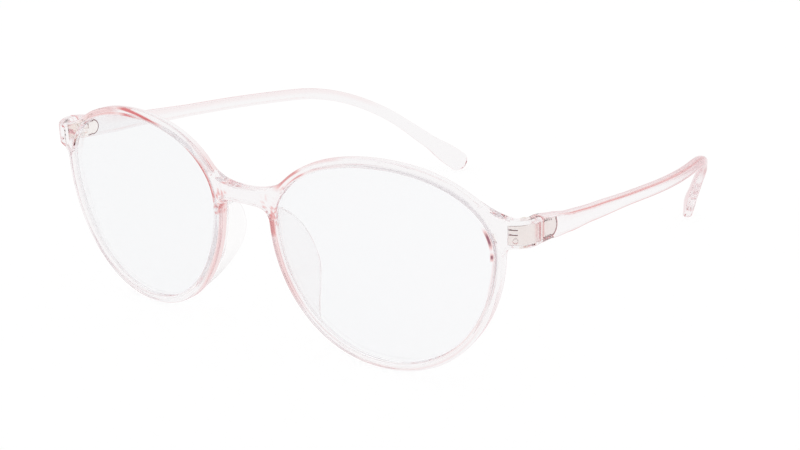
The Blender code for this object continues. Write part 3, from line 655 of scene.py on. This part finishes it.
def temple_solid(side):
    """Slim temple with a taller head at the hinge and a spoon-shaped tip."""
    fine, line, pitch, inward = temple_line()
    tail = TEMPLE_LENGTH - TIP_ROUND
    stops = list(np.arange(0, tail, 0.8))
    stops += [tail + TIP_ROUND * math.sin(math.radians(a)) for a in np.linspace(0, 88, 16)]
    rings = []
    for stop in stops:
        index = min(int(round(stop / fine[1])), len(fine) - 1)
        height = profile_at(TEMPLE_HEIGHTS, stop)
        width = profile_at(TEMPLE_WIDTHS, stop)
        if stop > tail:
            shrink = math.sqrt(max(0.0, 1 - ((stop - tail) / TIP_ROUND) ** 2))
            height *= shrink
            width *= 0.25 + 0.75 * shrink
        section = rounded_box_section(width, height, 0.9)
        blend = float(smooth(stop, 0.0, 8.0))
        lean = pitch[index] * blend
        turn = inward[index] * blend
        across = np.array([math.cos(turn), math.sin(turn), 0.0])
        up = np.array([math.sin(turn) * -math.sin(lean), math.cos(turn) * math.sin(lean), math.cos(lean)])
        points = line[index] + section[:, :1] * across + section[:, 1:] * up
        rings.append((points * [side, 1, 1])[::side])
    return loft(rings)


def knuckle_span(level):
    """Bottom and top of a knuckle: 1 upper, 0 middle, -1 lower."""
    middle = HINGE_Z + level * (KNUCKLE + KNUCKLE_GAP)
    return middle - KNUCKLE / 2, middle + KNUCKLE / 2


def wrapped_slab(stops, levels, depths, empty=()):
    """Left slab that follows the front's curve, on a grid of distances, heights and depths in millimetres."""
    solid = np.ones((len(stops) - 1, len(levels) - 1), bool)
    for cell in empty:
        solid[cell] = False
    grid = {}
    verts = []
    faces = []

    def corner(i, j, k):
        """Index of one grid corner: along, up and through the slab."""
        if (i, j, k) not in grid:
            grid[i, j, k] = len(verts)
            depth = depths[k] / END_DEPTH
            verts.append(bend(np.array([stops[i]]), np.array([levels[j]]), np.array([depth]))[0])
        return grid[i, j, k]

    def filled(i, j):
        """True when a cell of the slab is solid."""
        return 0 <= i < solid.shape[0] and 0 <= j < solid.shape[1] and solid[i, j]

    for i, j in zip(*np.nonzero(solid)):
        around = ((i, j), (i + 1, j), (i + 1, j + 1), (i, j + 1))
        faces.append([corner(a, b, 0) for a, b in around])
        faces.append([corner(a, b, 1) for a, b in reversed(around)])
        beside = ((i, j - 1), (i + 1, j), (i, j + 1), (i - 1, j))
        for side, (a, b) in enumerate(beside):
            if not filled(a, b):
                start, end = around[side], around[(side + 1) % 4]
                faces.append([corner(*end, 0), corner(*start, 0), corner(*start, 1), corner(*end, 1)])
    return np.array(verts), faces


def front_leaf_plate():
    """Left front leaf's plate: a comb end, then a flat curved round the corner to the butt joint."""
    low = HINGE_Z - FRONT_LEAF_HEIGHT / 2
    high = HINGE_Z + FRONT_LEAF_HEIGHT / 2
    slot_lows = [HINGE_Z + middle - COMB_SLOT / 2 for middle in COMB_SLOTS]
    levels = sorted([low, high] + slot_lows + [HINGE_Z + middle + COMB_SLOT / 2 for middle in COMB_SLOTS])
    comb_end = FRONT_LEAF_START + COMB_LENGTH
    last = seam_distance() - FRONT_LEAF_END_GAP
    comb = list(np.linspace(FRONT_LEAF_START, comb_end, COMB_STEPS + 1))
    stops = comb[:-1] + list(np.linspace(comb_end, last, PLATE_STEPS))
    front = END_DEPTH - FRONT_LEAF_SINK + FIT
    empty = [(step, levels.index(slot_low)) for slot_low in slot_lows for step in range(COMB_STEPS)]
    return wrapped_slab(stops, levels, (front, front + LEAF_THICKNESS), empty)


def leaf_pocket():
    """Cutter for the pocket in the back of the left end piece that holds the front leaf."""
    half = FRONT_LEAF_HEIGHT / 2 + FIT
    stops = np.linspace(FRONT_LEAF_START - FIT, seam_distance() + 0.8, PLATE_STEPS + COMB_STEPS)
    depths = (END_DEPTH - FRONT_LEAF_SINK, END_DEPTH + 0.6)
    return wrapped_slab(list(stops), [HINGE_Z - half, HINGE_Z + half], depths)


def peg_place():
    """Matrix of the left front leaf's peg, standing on the floor of the pocket and pointing forwards."""
    depth = 1 - (FRONT_LEAF_SINK - FIT) / END_DEPTH
    foot = bend(np.array([PEG_AT]), np.array([HINGE_Z + PEG_UP]), np.array([depth]))[0]
    heading = float(np.interp(PEG_AT, PATH[0], PATH[3]))
    return Matrix.Translation(foot) @ Matrix.Rotation(heading, 4, "Z") @ Matrix.Rotation(math.pi / 2, 4, "X")


def front_leaf_parts():
    """Left front leaf: comb plate, a peg, and two knuckles on webs, with the pin hole left to cut."""
    peg = cylinder((0, 0), PEG_RADIUS, -0.3, PEG_LENGTH, PEG_SIDES)
    parts = [front_leaf_plate(), moved(peg, peg_place())]
    middle = 1 - (FRONT_LEAF_SINK - FIT - LEAF_THICKNESS / 2) / END_DEPTH
    end = bend(np.array([seam_distance() - FRONT_LEAF_END_GAP]), np.array([HINGE_Z]), np.array([middle]))[0]
    web = [(end[0], end[1] - 0.9), (end[0], end[1] - 0.1), (HINGE_X + 0.95, HINGE_Y - 0.55),
           (HINGE_X + 0.9, HINGE_Y - 0.2), (HINGE_X - 0.9, HINGE_Y - 0.2), (HINGE_X - 0.3, HINGE_Y - 1.05)]
    for level in (1, -1):
        low, high = knuckle_span(level)
        parts.append(cylinder((HINGE_X, HINGE_Y), BARREL_RADIUS, low, high))
        parts.append(prism(web, low, high))
    return parts


def temple_leaf_outline(grow):
    """Serrated plate outline along and up the temple, with a rounded free end."""
    half = TEMPLE_LEAF_HEIGHT / 2
    points = [(0.9 - grow, -half * 0.8 - grow)]
    for tooth in range(3):
        start = 1.9 + 0.8 * tooth
        points += [(start - grow, -half - grow), (start + 0.45 + grow, -half - grow)]
        points += [(start + 0.55 + grow, -half + 0.3 - grow)]
    for angle in np.linspace(-math.pi / 2, math.pi / 2, 17):
        reach = half + grow
        points.append((TEMPLE_LEAF_LENGTH - half + reach * math.cos(angle), reach * math.sin(angle)))
    upper = [(along, -up) for along, up in points[:-17]]
    return points + upper[::-1]


def temple_leaf_place():
    """Matrix that stands the temple leaf on the inner face of the left temple."""
    inner = TEMPLE_X - TEMPLE_WIDTHS[1][1] / 2
    tilt = Matrix.Rotation(-PITCH_START, 4, "X")
    stand = Matrix(((0, 0, 1, 0), (1, 0, 0, 0), (0, 1, 0, 0), (0, 0, 0, 1)))
    return Matrix.Translation((inner, HINGE_Y, HINGE_Z - TEMPLE_LEAF_DROP)) @ tilt @ stand


def temple_leaf_parts():
    """Left temple leaf: serrated plate set into the temple and the middle knuckle on its web."""
    place = temple_leaf_place()
    parts = [moved(prism(temple_leaf_outline(0.0), -LEAF_PROUD, LEAF_THICKNESS - LEAF_PROUD), place)]
    low, high = knuckle_span(0)
    parts.append(cylinder((HINGE_X, HINGE_Y), BARREL_RADIUS, low, high))
    inner = TEMPLE_X - TEMPLE_WIDTHS[1][1] / 2
    web = [(HINGE_X + 0.3, HINGE_Y + 0.1), (HINGE_X + 0.9, HINGE_Y + 0.1), (inner + 0.2, HINGE_Y + 1.1),
           (inner + 0.2, HINGE_Y + 2.6), (inner - 0.3, HINGE_Y + 2.6), (HINGE_X - 0.2, HINGE_Y + 0.9)]
    parts.append(prism(web, low, high))
    return parts


def screw_solid():
    """Left hinge screw: low domed head over a plain shank."""
    low = knuckle_span(-1)[0] - 0.15
    high = knuckle_span(1)[1]
    seat = high + 0.05
    shank = [(0.35, low), (PIN_RADIUS, low + 0.15), (PIN_RADIUS, seat), (HEAD_RADIUS, seat)]
    dome = [(HEAD_RADIUS * math.cos(a), seat + 0.1 + 0.1 * math.sin(a)) for a in np.linspace(0, 1.45, 9)]
    angles = np.linspace(0, 2 * math.pi, 48, endpoint=False)
    rings = []
    for radius, z in shank + dome:
        x = HINGE_X + radius * np.cos(angles)
        rings.append(np.stack([x, HINGE_Y + radius * np.sin(angles), np.full(48, z)], axis=1))
    return loft(rings)


# ---------------------------------------------------------------- objects


def to_object(name, solid):
    """New object from millimetre vertices, faces turned outwards."""
    verts, faces = solid
    mesh = bpy.data.meshes.new(name)
    mesh.from_pydata([tuple(v) for v in verts], [], faces)
    box = bmesh.new()
    box.from_mesh(mesh)
    bmesh.ops.recalc_face_normals(box, faces=box.faces)
    if box.calc_volume(signed=True) < 0:
        bmesh.ops.reverse_faces(box, faces=box.faces)
    box.to_mesh(mesh)
    box.free()
    body = bpy.data.objects.new(name, mesh)
    bpy.context.scene.collection.objects.link(body)
    return body


def combine(body, solid, operation):
    """Apply an exact Boolean with a solid."""
    other = to_object("tool", solid)
    step = body.modifiers.new("cut", "BOOLEAN")
    step.operation = operation
    step.solver = "EXACT"
    step.object = other
    result = bpy.data.meshes.new_from_object(body.evaluated_get(bpy.context.evaluated_depsgraph_get()))
    body.modifiers.clear()
    body.data = result
    bpy.data.objects.remove(other)


def store_painted_light_and_joints(body, side, rule, walls=None):
    """Store the painted tint of a plastic piece: painted refraction bands and joint lines from the rule, and
    painted shade, nearly full, on the walls that a rule picks.
    """
    points = np.array([v.co for v in body.data.vertices])
    left = points if side == 0 else points * [side, 1, 1]
    values = rule(left)
    painted_light_and_joints = body.data.attributes.new("painted_light_and_joints", "FLOAT", "CORNER")
    for face in body.data.polygons:
        wall = walls is not None and walls(face.center, face.normal)
        for corner in face.loop_indices:
            vertex = body.data.loops[corner].vertex_index
            # Painted shade: the picked walls of recesses and holes get nearly full dark red.
            painted_light_and_joints.data[corner].value = 0.9 if wall else values[vertex]


def recess_wall(centre, normal):
    """True for the upright walls of a temple's leaf recess."""
    inner = TEMPLE_X - TEMPLE_WIDTHS[1][1] / 2
    floor = inner + LEAF_THICKNESS - LEAF_PROUD
    along = HINGE_Y + 0.5 < centre.y < HINGE_Y + TEMPLE_LEAF_LENGTH + 0.4
    across = inner - 0.3 < abs(centre.x) < floor + 0.2
    upright = abs(normal.x) < 0.5
    return along and across and upright and 2.6 < centre.z < 8.4


def peg_wall(centre, normal):
    """True for the wall of a front leaf's peg hole."""
    place = PEG_VIEW @ Vector((abs(centre.x), centre.y, centre.z))
    facing = PEG_VIEW.to_3x3() @ Vector((normal.x if centre.x > 0 else -normal.x, normal.y, normal.z))
    return abs(facing.z) < 0.3 and math.hypot(place.x, place.y) < PEG_RADIUS + FIT + 0.05 and place.z > 0


def darken_edges(leaf, side):
    """Give a leaf's side edges, and a narrow band round its flat temple plate, the second material: a dark
    red.
    """
    box = bmesh.new()
    box.from_mesh(leaf.data)
    large = [f for f in box.faces if abs(f.normal.x) > 0.9 and f.calc_area() > 8]
    flats = [f for f in large if f.calc_center_median().y > SEAM_Y]
    band_faces = bmesh.ops.inset_individual(box, faces=flats, thickness=EDGE_BAND)["faces"]
    for face in band_faces:
        face.material_index = 1
    box.to_mesh(leaf.data)
    box.free()
    plate = END_DEPTH - FRONT_LEAF_SINK
    centres = np.array([face.center for face in leaf.data.polygons]) * [side, 1, 1]
    s, depth = unwrapped(centres)
    heading = np.interp(s, PATH[0], PATH[3])
    inner = TEMPLE_X - TEMPLE_WIDTHS[1][1] / 2
    for face, place, deep, turn in zip(leaf.data.polygons, centres, depth, heading):
        in_front = place[1] < SEAM_Y and plate - PEG_LENGTH < deep < plate + LEAF_THICKNESS + 0.4
        in_temple = place[1] > SEAM_Y and place[0] > inner - 0.3
        across = Vector((side * math.sin(turn), -math.cos(turn), 0)) if in_front else Vector((1, 0, 0))
        if (in_front or in_temple) and abs(face.normal.dot(across)) < 0.6:
            face.material_index = 1


def finish_piece(body, node, owner, material, sharp=40.0, bevel=0.0):
    """Place a piece in the row frame, shade it, tie it to its body and hide the imported node it stands for.
    """
    body.data.transform(PLACE)
    for face in body.data.polygons:
        face.use_smooth = True
    body.data.set_sharp_from_angle(angle=math.radians(sharp))
    if bevel:
        step = body.modifiers.new("edge", "BEVEL")
        step.width = bevel * MM
        step.segments = 2
        step.limit_method = "ANGLE"
        step.angle_limit = math.radians(35)
    marks = [face.material_index for face in body.data.polygons]
    body.data.materials.clear()
    for look in material if isinstance(material, tuple) else (material,):
        body.data.materials.append(look)
    for face, mark in zip(body.data.polygons, marks):
        face.material_index = mark
    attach(body, owner)
    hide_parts(node)


# ---------------------------------------------------------------- materials


def nodes_of(name):
    """New material with an empty tree: material, tree, output."""
    material = bpy.data.materials.new(name)
    material.use_nodes = True
    tree = material.node_tree
    tree.nodes.clear()
    output = tree.nodes.new("ShaderNodeOutputMaterial")
    return material, tree, output


def add(tree, kind, **values):
    """Node with its inputs set by name."""
    node = tree.nodes.new(kind)
    for key, value in values.items():
        node.inputs[key.replace("_", " ")].default_value = value
    return node


def deepened_by_painted_light(tree, colour, deepest):
    """Colour of a clear piece deepened towards dark red by the painted refraction bands, painted shade and
    joint lines that its mesh carries.
    """
    painted_bands = tree.nodes.new("ShaderNodeAttribute")
    painted_bands.attribute_name = "painted_light_and_joints"
    band_ramp = tree.nodes.new("ShaderNodeValToRGB")
    band_ramp.color_ramp.elements[0].color = (1, 1, 1, 1)
    band_ramp.color_ramp.elements[1].color = (*deepest, 1)
    middle = band_ramp.color_ramp.elements.new(0.5)
    middle.color = (0.87, 0.41, 0.4, 1)
    mix = tree.nodes.new("ShaderNodeMix")
    mix.data_type = "RGBA"
    mix.blend_type = "MULTIPLY"
    mix.inputs["Factor"].default_value = 1.0
    tree.links.new(painted_bands.outputs["Fac"], band_ramp.inputs["Fac"])
    tree.links.new(colour, mix.inputs["A"])
    tree.links.new(band_ramp.outputs["Color"], mix.inputs["B"])
    return mix.outputs["Result"]


def crystal(name, body, rim, density, taken, roughness, ior):
    """Clear moulded plastic under a thin tinted skin: the skin shows where it is seen edge on, and long paths
    through the plastic deepen the colour."""
    material, tree, output = nodes_of(name)
    shader = add(tree, "ShaderNodeBsdfPrincipled", Transmission_Weight=1.0, IOR=ior)
    slant = add(tree, "ShaderNodeFresnel", IOR=ior)
    skin = tree.nodes.new("ShaderNodeValToRGB")
    skin.color_ramp.interpolation = "EASE"
    skin.color_ramp.elements[0].position = 0.13
    skin.color_ramp.elements[0].color = (*body, 1)
    skin.color_ramp.elements[1].position = 0.5
    skin.color_ramp.elements[1].color = (*rim, 1)
    tree.links.new(slant.outputs["Fac"], skin.inputs["Fac"])
    # The mesh's painted refraction bands, painted shade and joint lines deepen the skin colour towards dark
    # red.
    tree.links.new(deepened_by_painted_light(tree, skin.outputs["Color"], (0.56, 0.035, 0.04)), shader.inputs["Base Color"])
    place = tree.nodes.new("ShaderNodeTexCoord")
    wave = add(tree, "ShaderNodeTexNoise", Scale=90.0, Detail=2.0, Roughness=0.5)
    fine = add(tree, "ShaderNodeTexNoise", Scale=1400.0, Detail=3.0, Roughness=0.6)
    tree.links.new(place.outputs["Object"], wave.inputs["Vector"])
    tree.links.new(place.outputs["Object"], fine.inputs["Vector"])
    ramp = tree.nodes.new("ShaderNodeMapRange")
    ramp.inputs["To Min"].default_value = roughness * 0.6
    ramp.inputs["To Max"].default_value = roughness * 1.6
    tree.links.new(fine.outputs["Fac"], ramp.inputs["Value"])
    tree.links.new(ramp.outputs["Result"], shader.inputs["Roughness"])
    swell = add(tree, "ShaderNodeBump", Strength=0.25, Distance=0.00006)
    grain = add(tree, "ShaderNodeBump", Strength=0.1, Distance=0.000004)
    tree.links.new(wave.outputs["Fac"], swell.inputs["Height"])
    tree.links.new(fine.outputs["Fac"], grain.inputs["Height"])
    tree.links.new(swell.outputs["Normal"], grain.inputs["Normal"])
    tree.links.new(grain.outputs["Normal"], shader.inputs["Normal"])
    take = add(tree, "ShaderNodeVolumeAbsorption", Density=density)
    take.inputs["Color"].default_value = (*(1 - t for t in taken), 1)
    tree.links.new(shader.outputs["BSDF"], output.inputs["Surface"])
    tree.links.new(take.outputs["Volume"], output.inputs["Volume"])
    return material


def lens_look():
    """Clear lens with a faint grey body and a coating that deepens where it is seen aslant."""
    material, tree, output = nodes_of("coated_lens")
    shader = add(tree, "ShaderNodeBsdfPrincipled", Transmission_Weight=1.0, IOR=1.5, Roughness=0.0)
    slant = add(tree, "ShaderNodeLayerWeight", Blend=0.5)
    coat = tree.nodes.new("ShaderNodeValToRGB")
    coat.color_ramp.elements[0].position = 0.1
    coat.color_ramp.elements[0].color = (0.945, 0.947, 0.957, 1)
    coat.color_ramp.elements[1].position = 0.34
    coat.color_ramp.elements[1].color = (0.918, 0.925, 0.934, 1)
    place = tree.nodes.new("ShaderNodeTexCoord")
    film = add(tree, "ShaderNodeTexNoise", Scale=30.0, Detail=1.0, Roughness=0.4)
    tree.links.new(place.outputs["Object"], film.inputs["Vector"])
    ripple = add(tree, "ShaderNodeBump", Strength=0.05, Distance=0.00002)
    tree.links.new(film.outputs["Fac"], ripple.inputs["Height"])
    tree.links.new(ripple.outputs["Normal"], shader.inputs["Normal"])
    tree.links.new(slant.outputs["Facing"], coat.inputs["Fac"])
    # The left lens's painted reflection of the groove deepens its colour towards dark red.
    tree.links.new(deepened_by_painted_light(tree, coat.outputs["Color"], (0.12, 0.015, 0.03)), shader.inputs["Base Color"])
    take = add(tree, "ShaderNodeVolumeAbsorption", Density=2.0)
    take.inputs["Color"].default_value = (0.4, 0.2, 0.3, 1)
    tree.links.new(shader.outputs["BSDF"], output.inputs["Surface"])
    tree.links.new(take.outputs["Volume"], output.inputs["Volume"])
    return material


def metal(name, colour, roughness):
    """Plated metal with a little tarnish in a fine mottle."""
    material, tree, output = nodes_of(name)
    shader = add(tree, "ShaderNodeBsdfPrincipled", Metallic=1.0)
    place = tree.nodes.new("ShaderNodeTexCoord")
    cloud = add(tree, "ShaderNodeTexNoise", Scale=700.0, Detail=4.0)
    tree.links.new(place.outputs["Object"], cloud.inputs["Vector"])
    shade = tree.nodes.new("ShaderNodeValToRGB")
    shade.color_ramp.elements[0].color = (colour[0] * 0.93, colour[1] * 0.89, colour[2] * 0.86, 1)
    shade.color_ramp.elements[1].color = (*colour, 1)
    tree.links.new(cloud.outputs["Fac"], shade.inputs["Fac"])
    tree.links.new(shade.outputs["Color"], shader.inputs["Base Color"])
    shader.inputs["Roughness"].default_value = roughness
    tree.links.new(shader.outputs["BSDF"], output.inputs["Surface"])
    return material


# ---------------------------------------------------------------- build

pink = crystal("pink_crystal", (0.935, 0.925, 0.93), (0.64, 0.30, 0.33), 3.6, (0.3, 1.0, 0.92), 0.006, 1.51)
clear = crystal("clear_pad", (0.975, 0.965, 0.965), (0.66, 0.62, 0.62), 4.0, (0.3, 0.4, 0.4), 0.015, 1.49)
coated = lens_look()
plated = metal("hinge_plating", (1.0, 0.965, 0.945), 0.28)
# Dark red for the leaves' side edges and the band round the temple plate.
dark_red_edging = metal("dark_red_edge", (0.17, 0.035, 0.045), 0.4)
steel = metal("screw_steel", (0.93, 0.92, 0.9), 0.2)

front = to_object("front_shell", front_mesh())
for side in (1, -1):
    block = prism([(57, SEAM_Y), (72, SEAM_Y), (72, SEAM_Y + 8), (57, SEAM_Y + 8)], 0, 14)
    combine(front, on_side(block, side), "DIFFERENCE")
    combine(front, on_side(leaf_pocket(), side), "DIFFERENCE")
    hole = moved(cylinder((0, 0), PEG_RADIUS + FIT, -1.0, PEG_LENGTH + 0.1, PEG_SIDES), peg_place())
    combine(front, on_side(hole, side), "DIFFERENCE")
PEG_VIEW = peg_place().inverted()
# Front: painted refraction streaks, joint lines, and painted shade on the peg hole walls.
store_painted_light_and_joints(front, 0, front_painted_streaks_and_joints, peg_wall)
finish_piece(front, "front_frame", "front", pink)

for side, word in ((1, "left"), (-1, "right")):
    lens = to_object("plano_lens_" + word, lens_solid(side))
    # Painted reflection of the groove on the left lens only.
    store_painted_light_and_joints(lens, side, lens_painted_reflection if side == 1 else no_painted_reflection)
    finish_piece(lens, "lens_" + word, "front", coated, 30.0)
    pad = to_object("clear_fin_" + word, pad_solid(side))
    finish_piece(pad, "nose_pad_" + word, "front", clear)
    temple = to_object("temple_arm_" + word, temple_solid(side))
    sunk = LEAF_THICKNESS - LEAF_PROUD + FIT
    recess = moved(prism(temple_leaf_outline(FIT), -1.5, sunk), temple_leaf_place())
    combine(temple, on_side(recess, side), "DIFFERENCE")
    # Temple: painted refraction lines on its edges, a joint line, and painted shade on the leaf recess walls.
    store_painted_light_and_joints(temple, side, temple_painted_edges_and_joint, recess_wall)
    finish_piece(temple, "temple_" + word, word + "_temple", pink)
    bore = cylinder((HINGE_X, HINGE_Y), PIN_RADIUS + PIN_CLEARANCE, 0, 12)
    for node, owner, parts in (("hinge_front_leaf_", "front", front_leaf_parts()),
                               ("hinge_temple_leaf_", word + "_temple", temple_leaf_parts())):
        leaf = to_object(node.replace("hinge", "plated") + word, on_side(parts[0], side))
        for part in parts[1:]:
            combine(leaf, on_side(part, side), "UNION")
        combine(leaf, on_side(bore, side), "DIFFERENCE")
        darken_edges(leaf, side)
        finish_piece(leaf, node + word, owner, (plated, dark_red_edging), 30.0)
    screw = to_object("slotted_screw_" + word, on_side(screw_solid(), side))
    top = knuckle_span(1)[1]
    half = SCREW_SLOT / 2
    slot = prism([(HINGE_X - 1.2, HINGE_Y - half), (HINGE_X + 1.2, HINGE_Y - half),
                  (HINGE_X + 1.2, HINGE_Y + half), (HINGE_X - 1.2, HINGE_Y + half)], top + 0.12, top + 1.0)
    combine(screw, on_side(slot, side), "DIFFERENCE")
    finish_piece(screw, "hinge_screw_" + word, "front", steel, 30.0)

# ---------------------------------------------------------------- studio

floor_mesh = bpy.data.meshes.new("floor")
corners = [(x * FLOOR_HALF, y * FLOOR_HALF, -FLOOR_GAP) for x, y in ((-1, -1), (1, -1), (1, 1), (-1, 1))]
floor_mesh.from_pydata(corners, [], [(0, 1, 2, 3)])
floor = bpy.data.objects.new("floor", floor_mesh)
bpy.context.scene.collection.objects.link(floor)
floor_look, tree, output = nodes_of("studio_floor")
shader = add(tree, "ShaderNodeBsdfPrincipled", Roughness=0.9)
shader.inputs["Base Color"].default_value = (0.15, 0.15, 0.15, 1)
shader.inputs["Specular IOR Level"].default_value = 0.0
shader.inputs["Emission Color"].default_value = (1, 1, 1, 1)
shader.inputs["Emission Strength"].default_value = 0.855
tree.links.new(shader.outputs["BSDF"], output.inputs["Surface"])
floor_mesh.materials.append(floor_look)

world = bpy.data.worlds.new("studio")
bpy.context.scene.world = world
world.use_nodes = True
world.node_tree.nodes["Background"].inputs["Color"].default_value = (1, 1, 1, 1)
world.node_tree.nodes["Background"].inputs["Strength"].default_value = 1.0

camera_data = bpy.data.cameras.new("camera")
camera_data.sensor_width = 36.0
camera_data.lens = VIEW_LENS
camera = bpy.data.objects.new("camera", camera_data)
bpy.context.scene.collection.objects.link(camera)
turn = Euler([math.radians(a) for a in VIEW_TURN]).to_matrix().to_4x4()
stand = Matrix.Translation(SHIFT * MM) @ TILT
camera.matrix_world = stand @ Matrix.Translation(Vector(VIEW_POINT) * MM) @ turn
bpy.context.scene.camera = camera

scene = bpy.context.scene
scene.view_settings.view_transform = "Standard"
scene.cycles.max_bounces = 128
scene.cycles.transmission_bounces = 128
scene.cycles.glossy_bounces = 128
scene.cycles.transparent_max_bounces = 16
scene.cycles.caustics_refractive = True
scene.cycles.caustics_reflective = True
scene.cycles.blur_glossy = 0.0
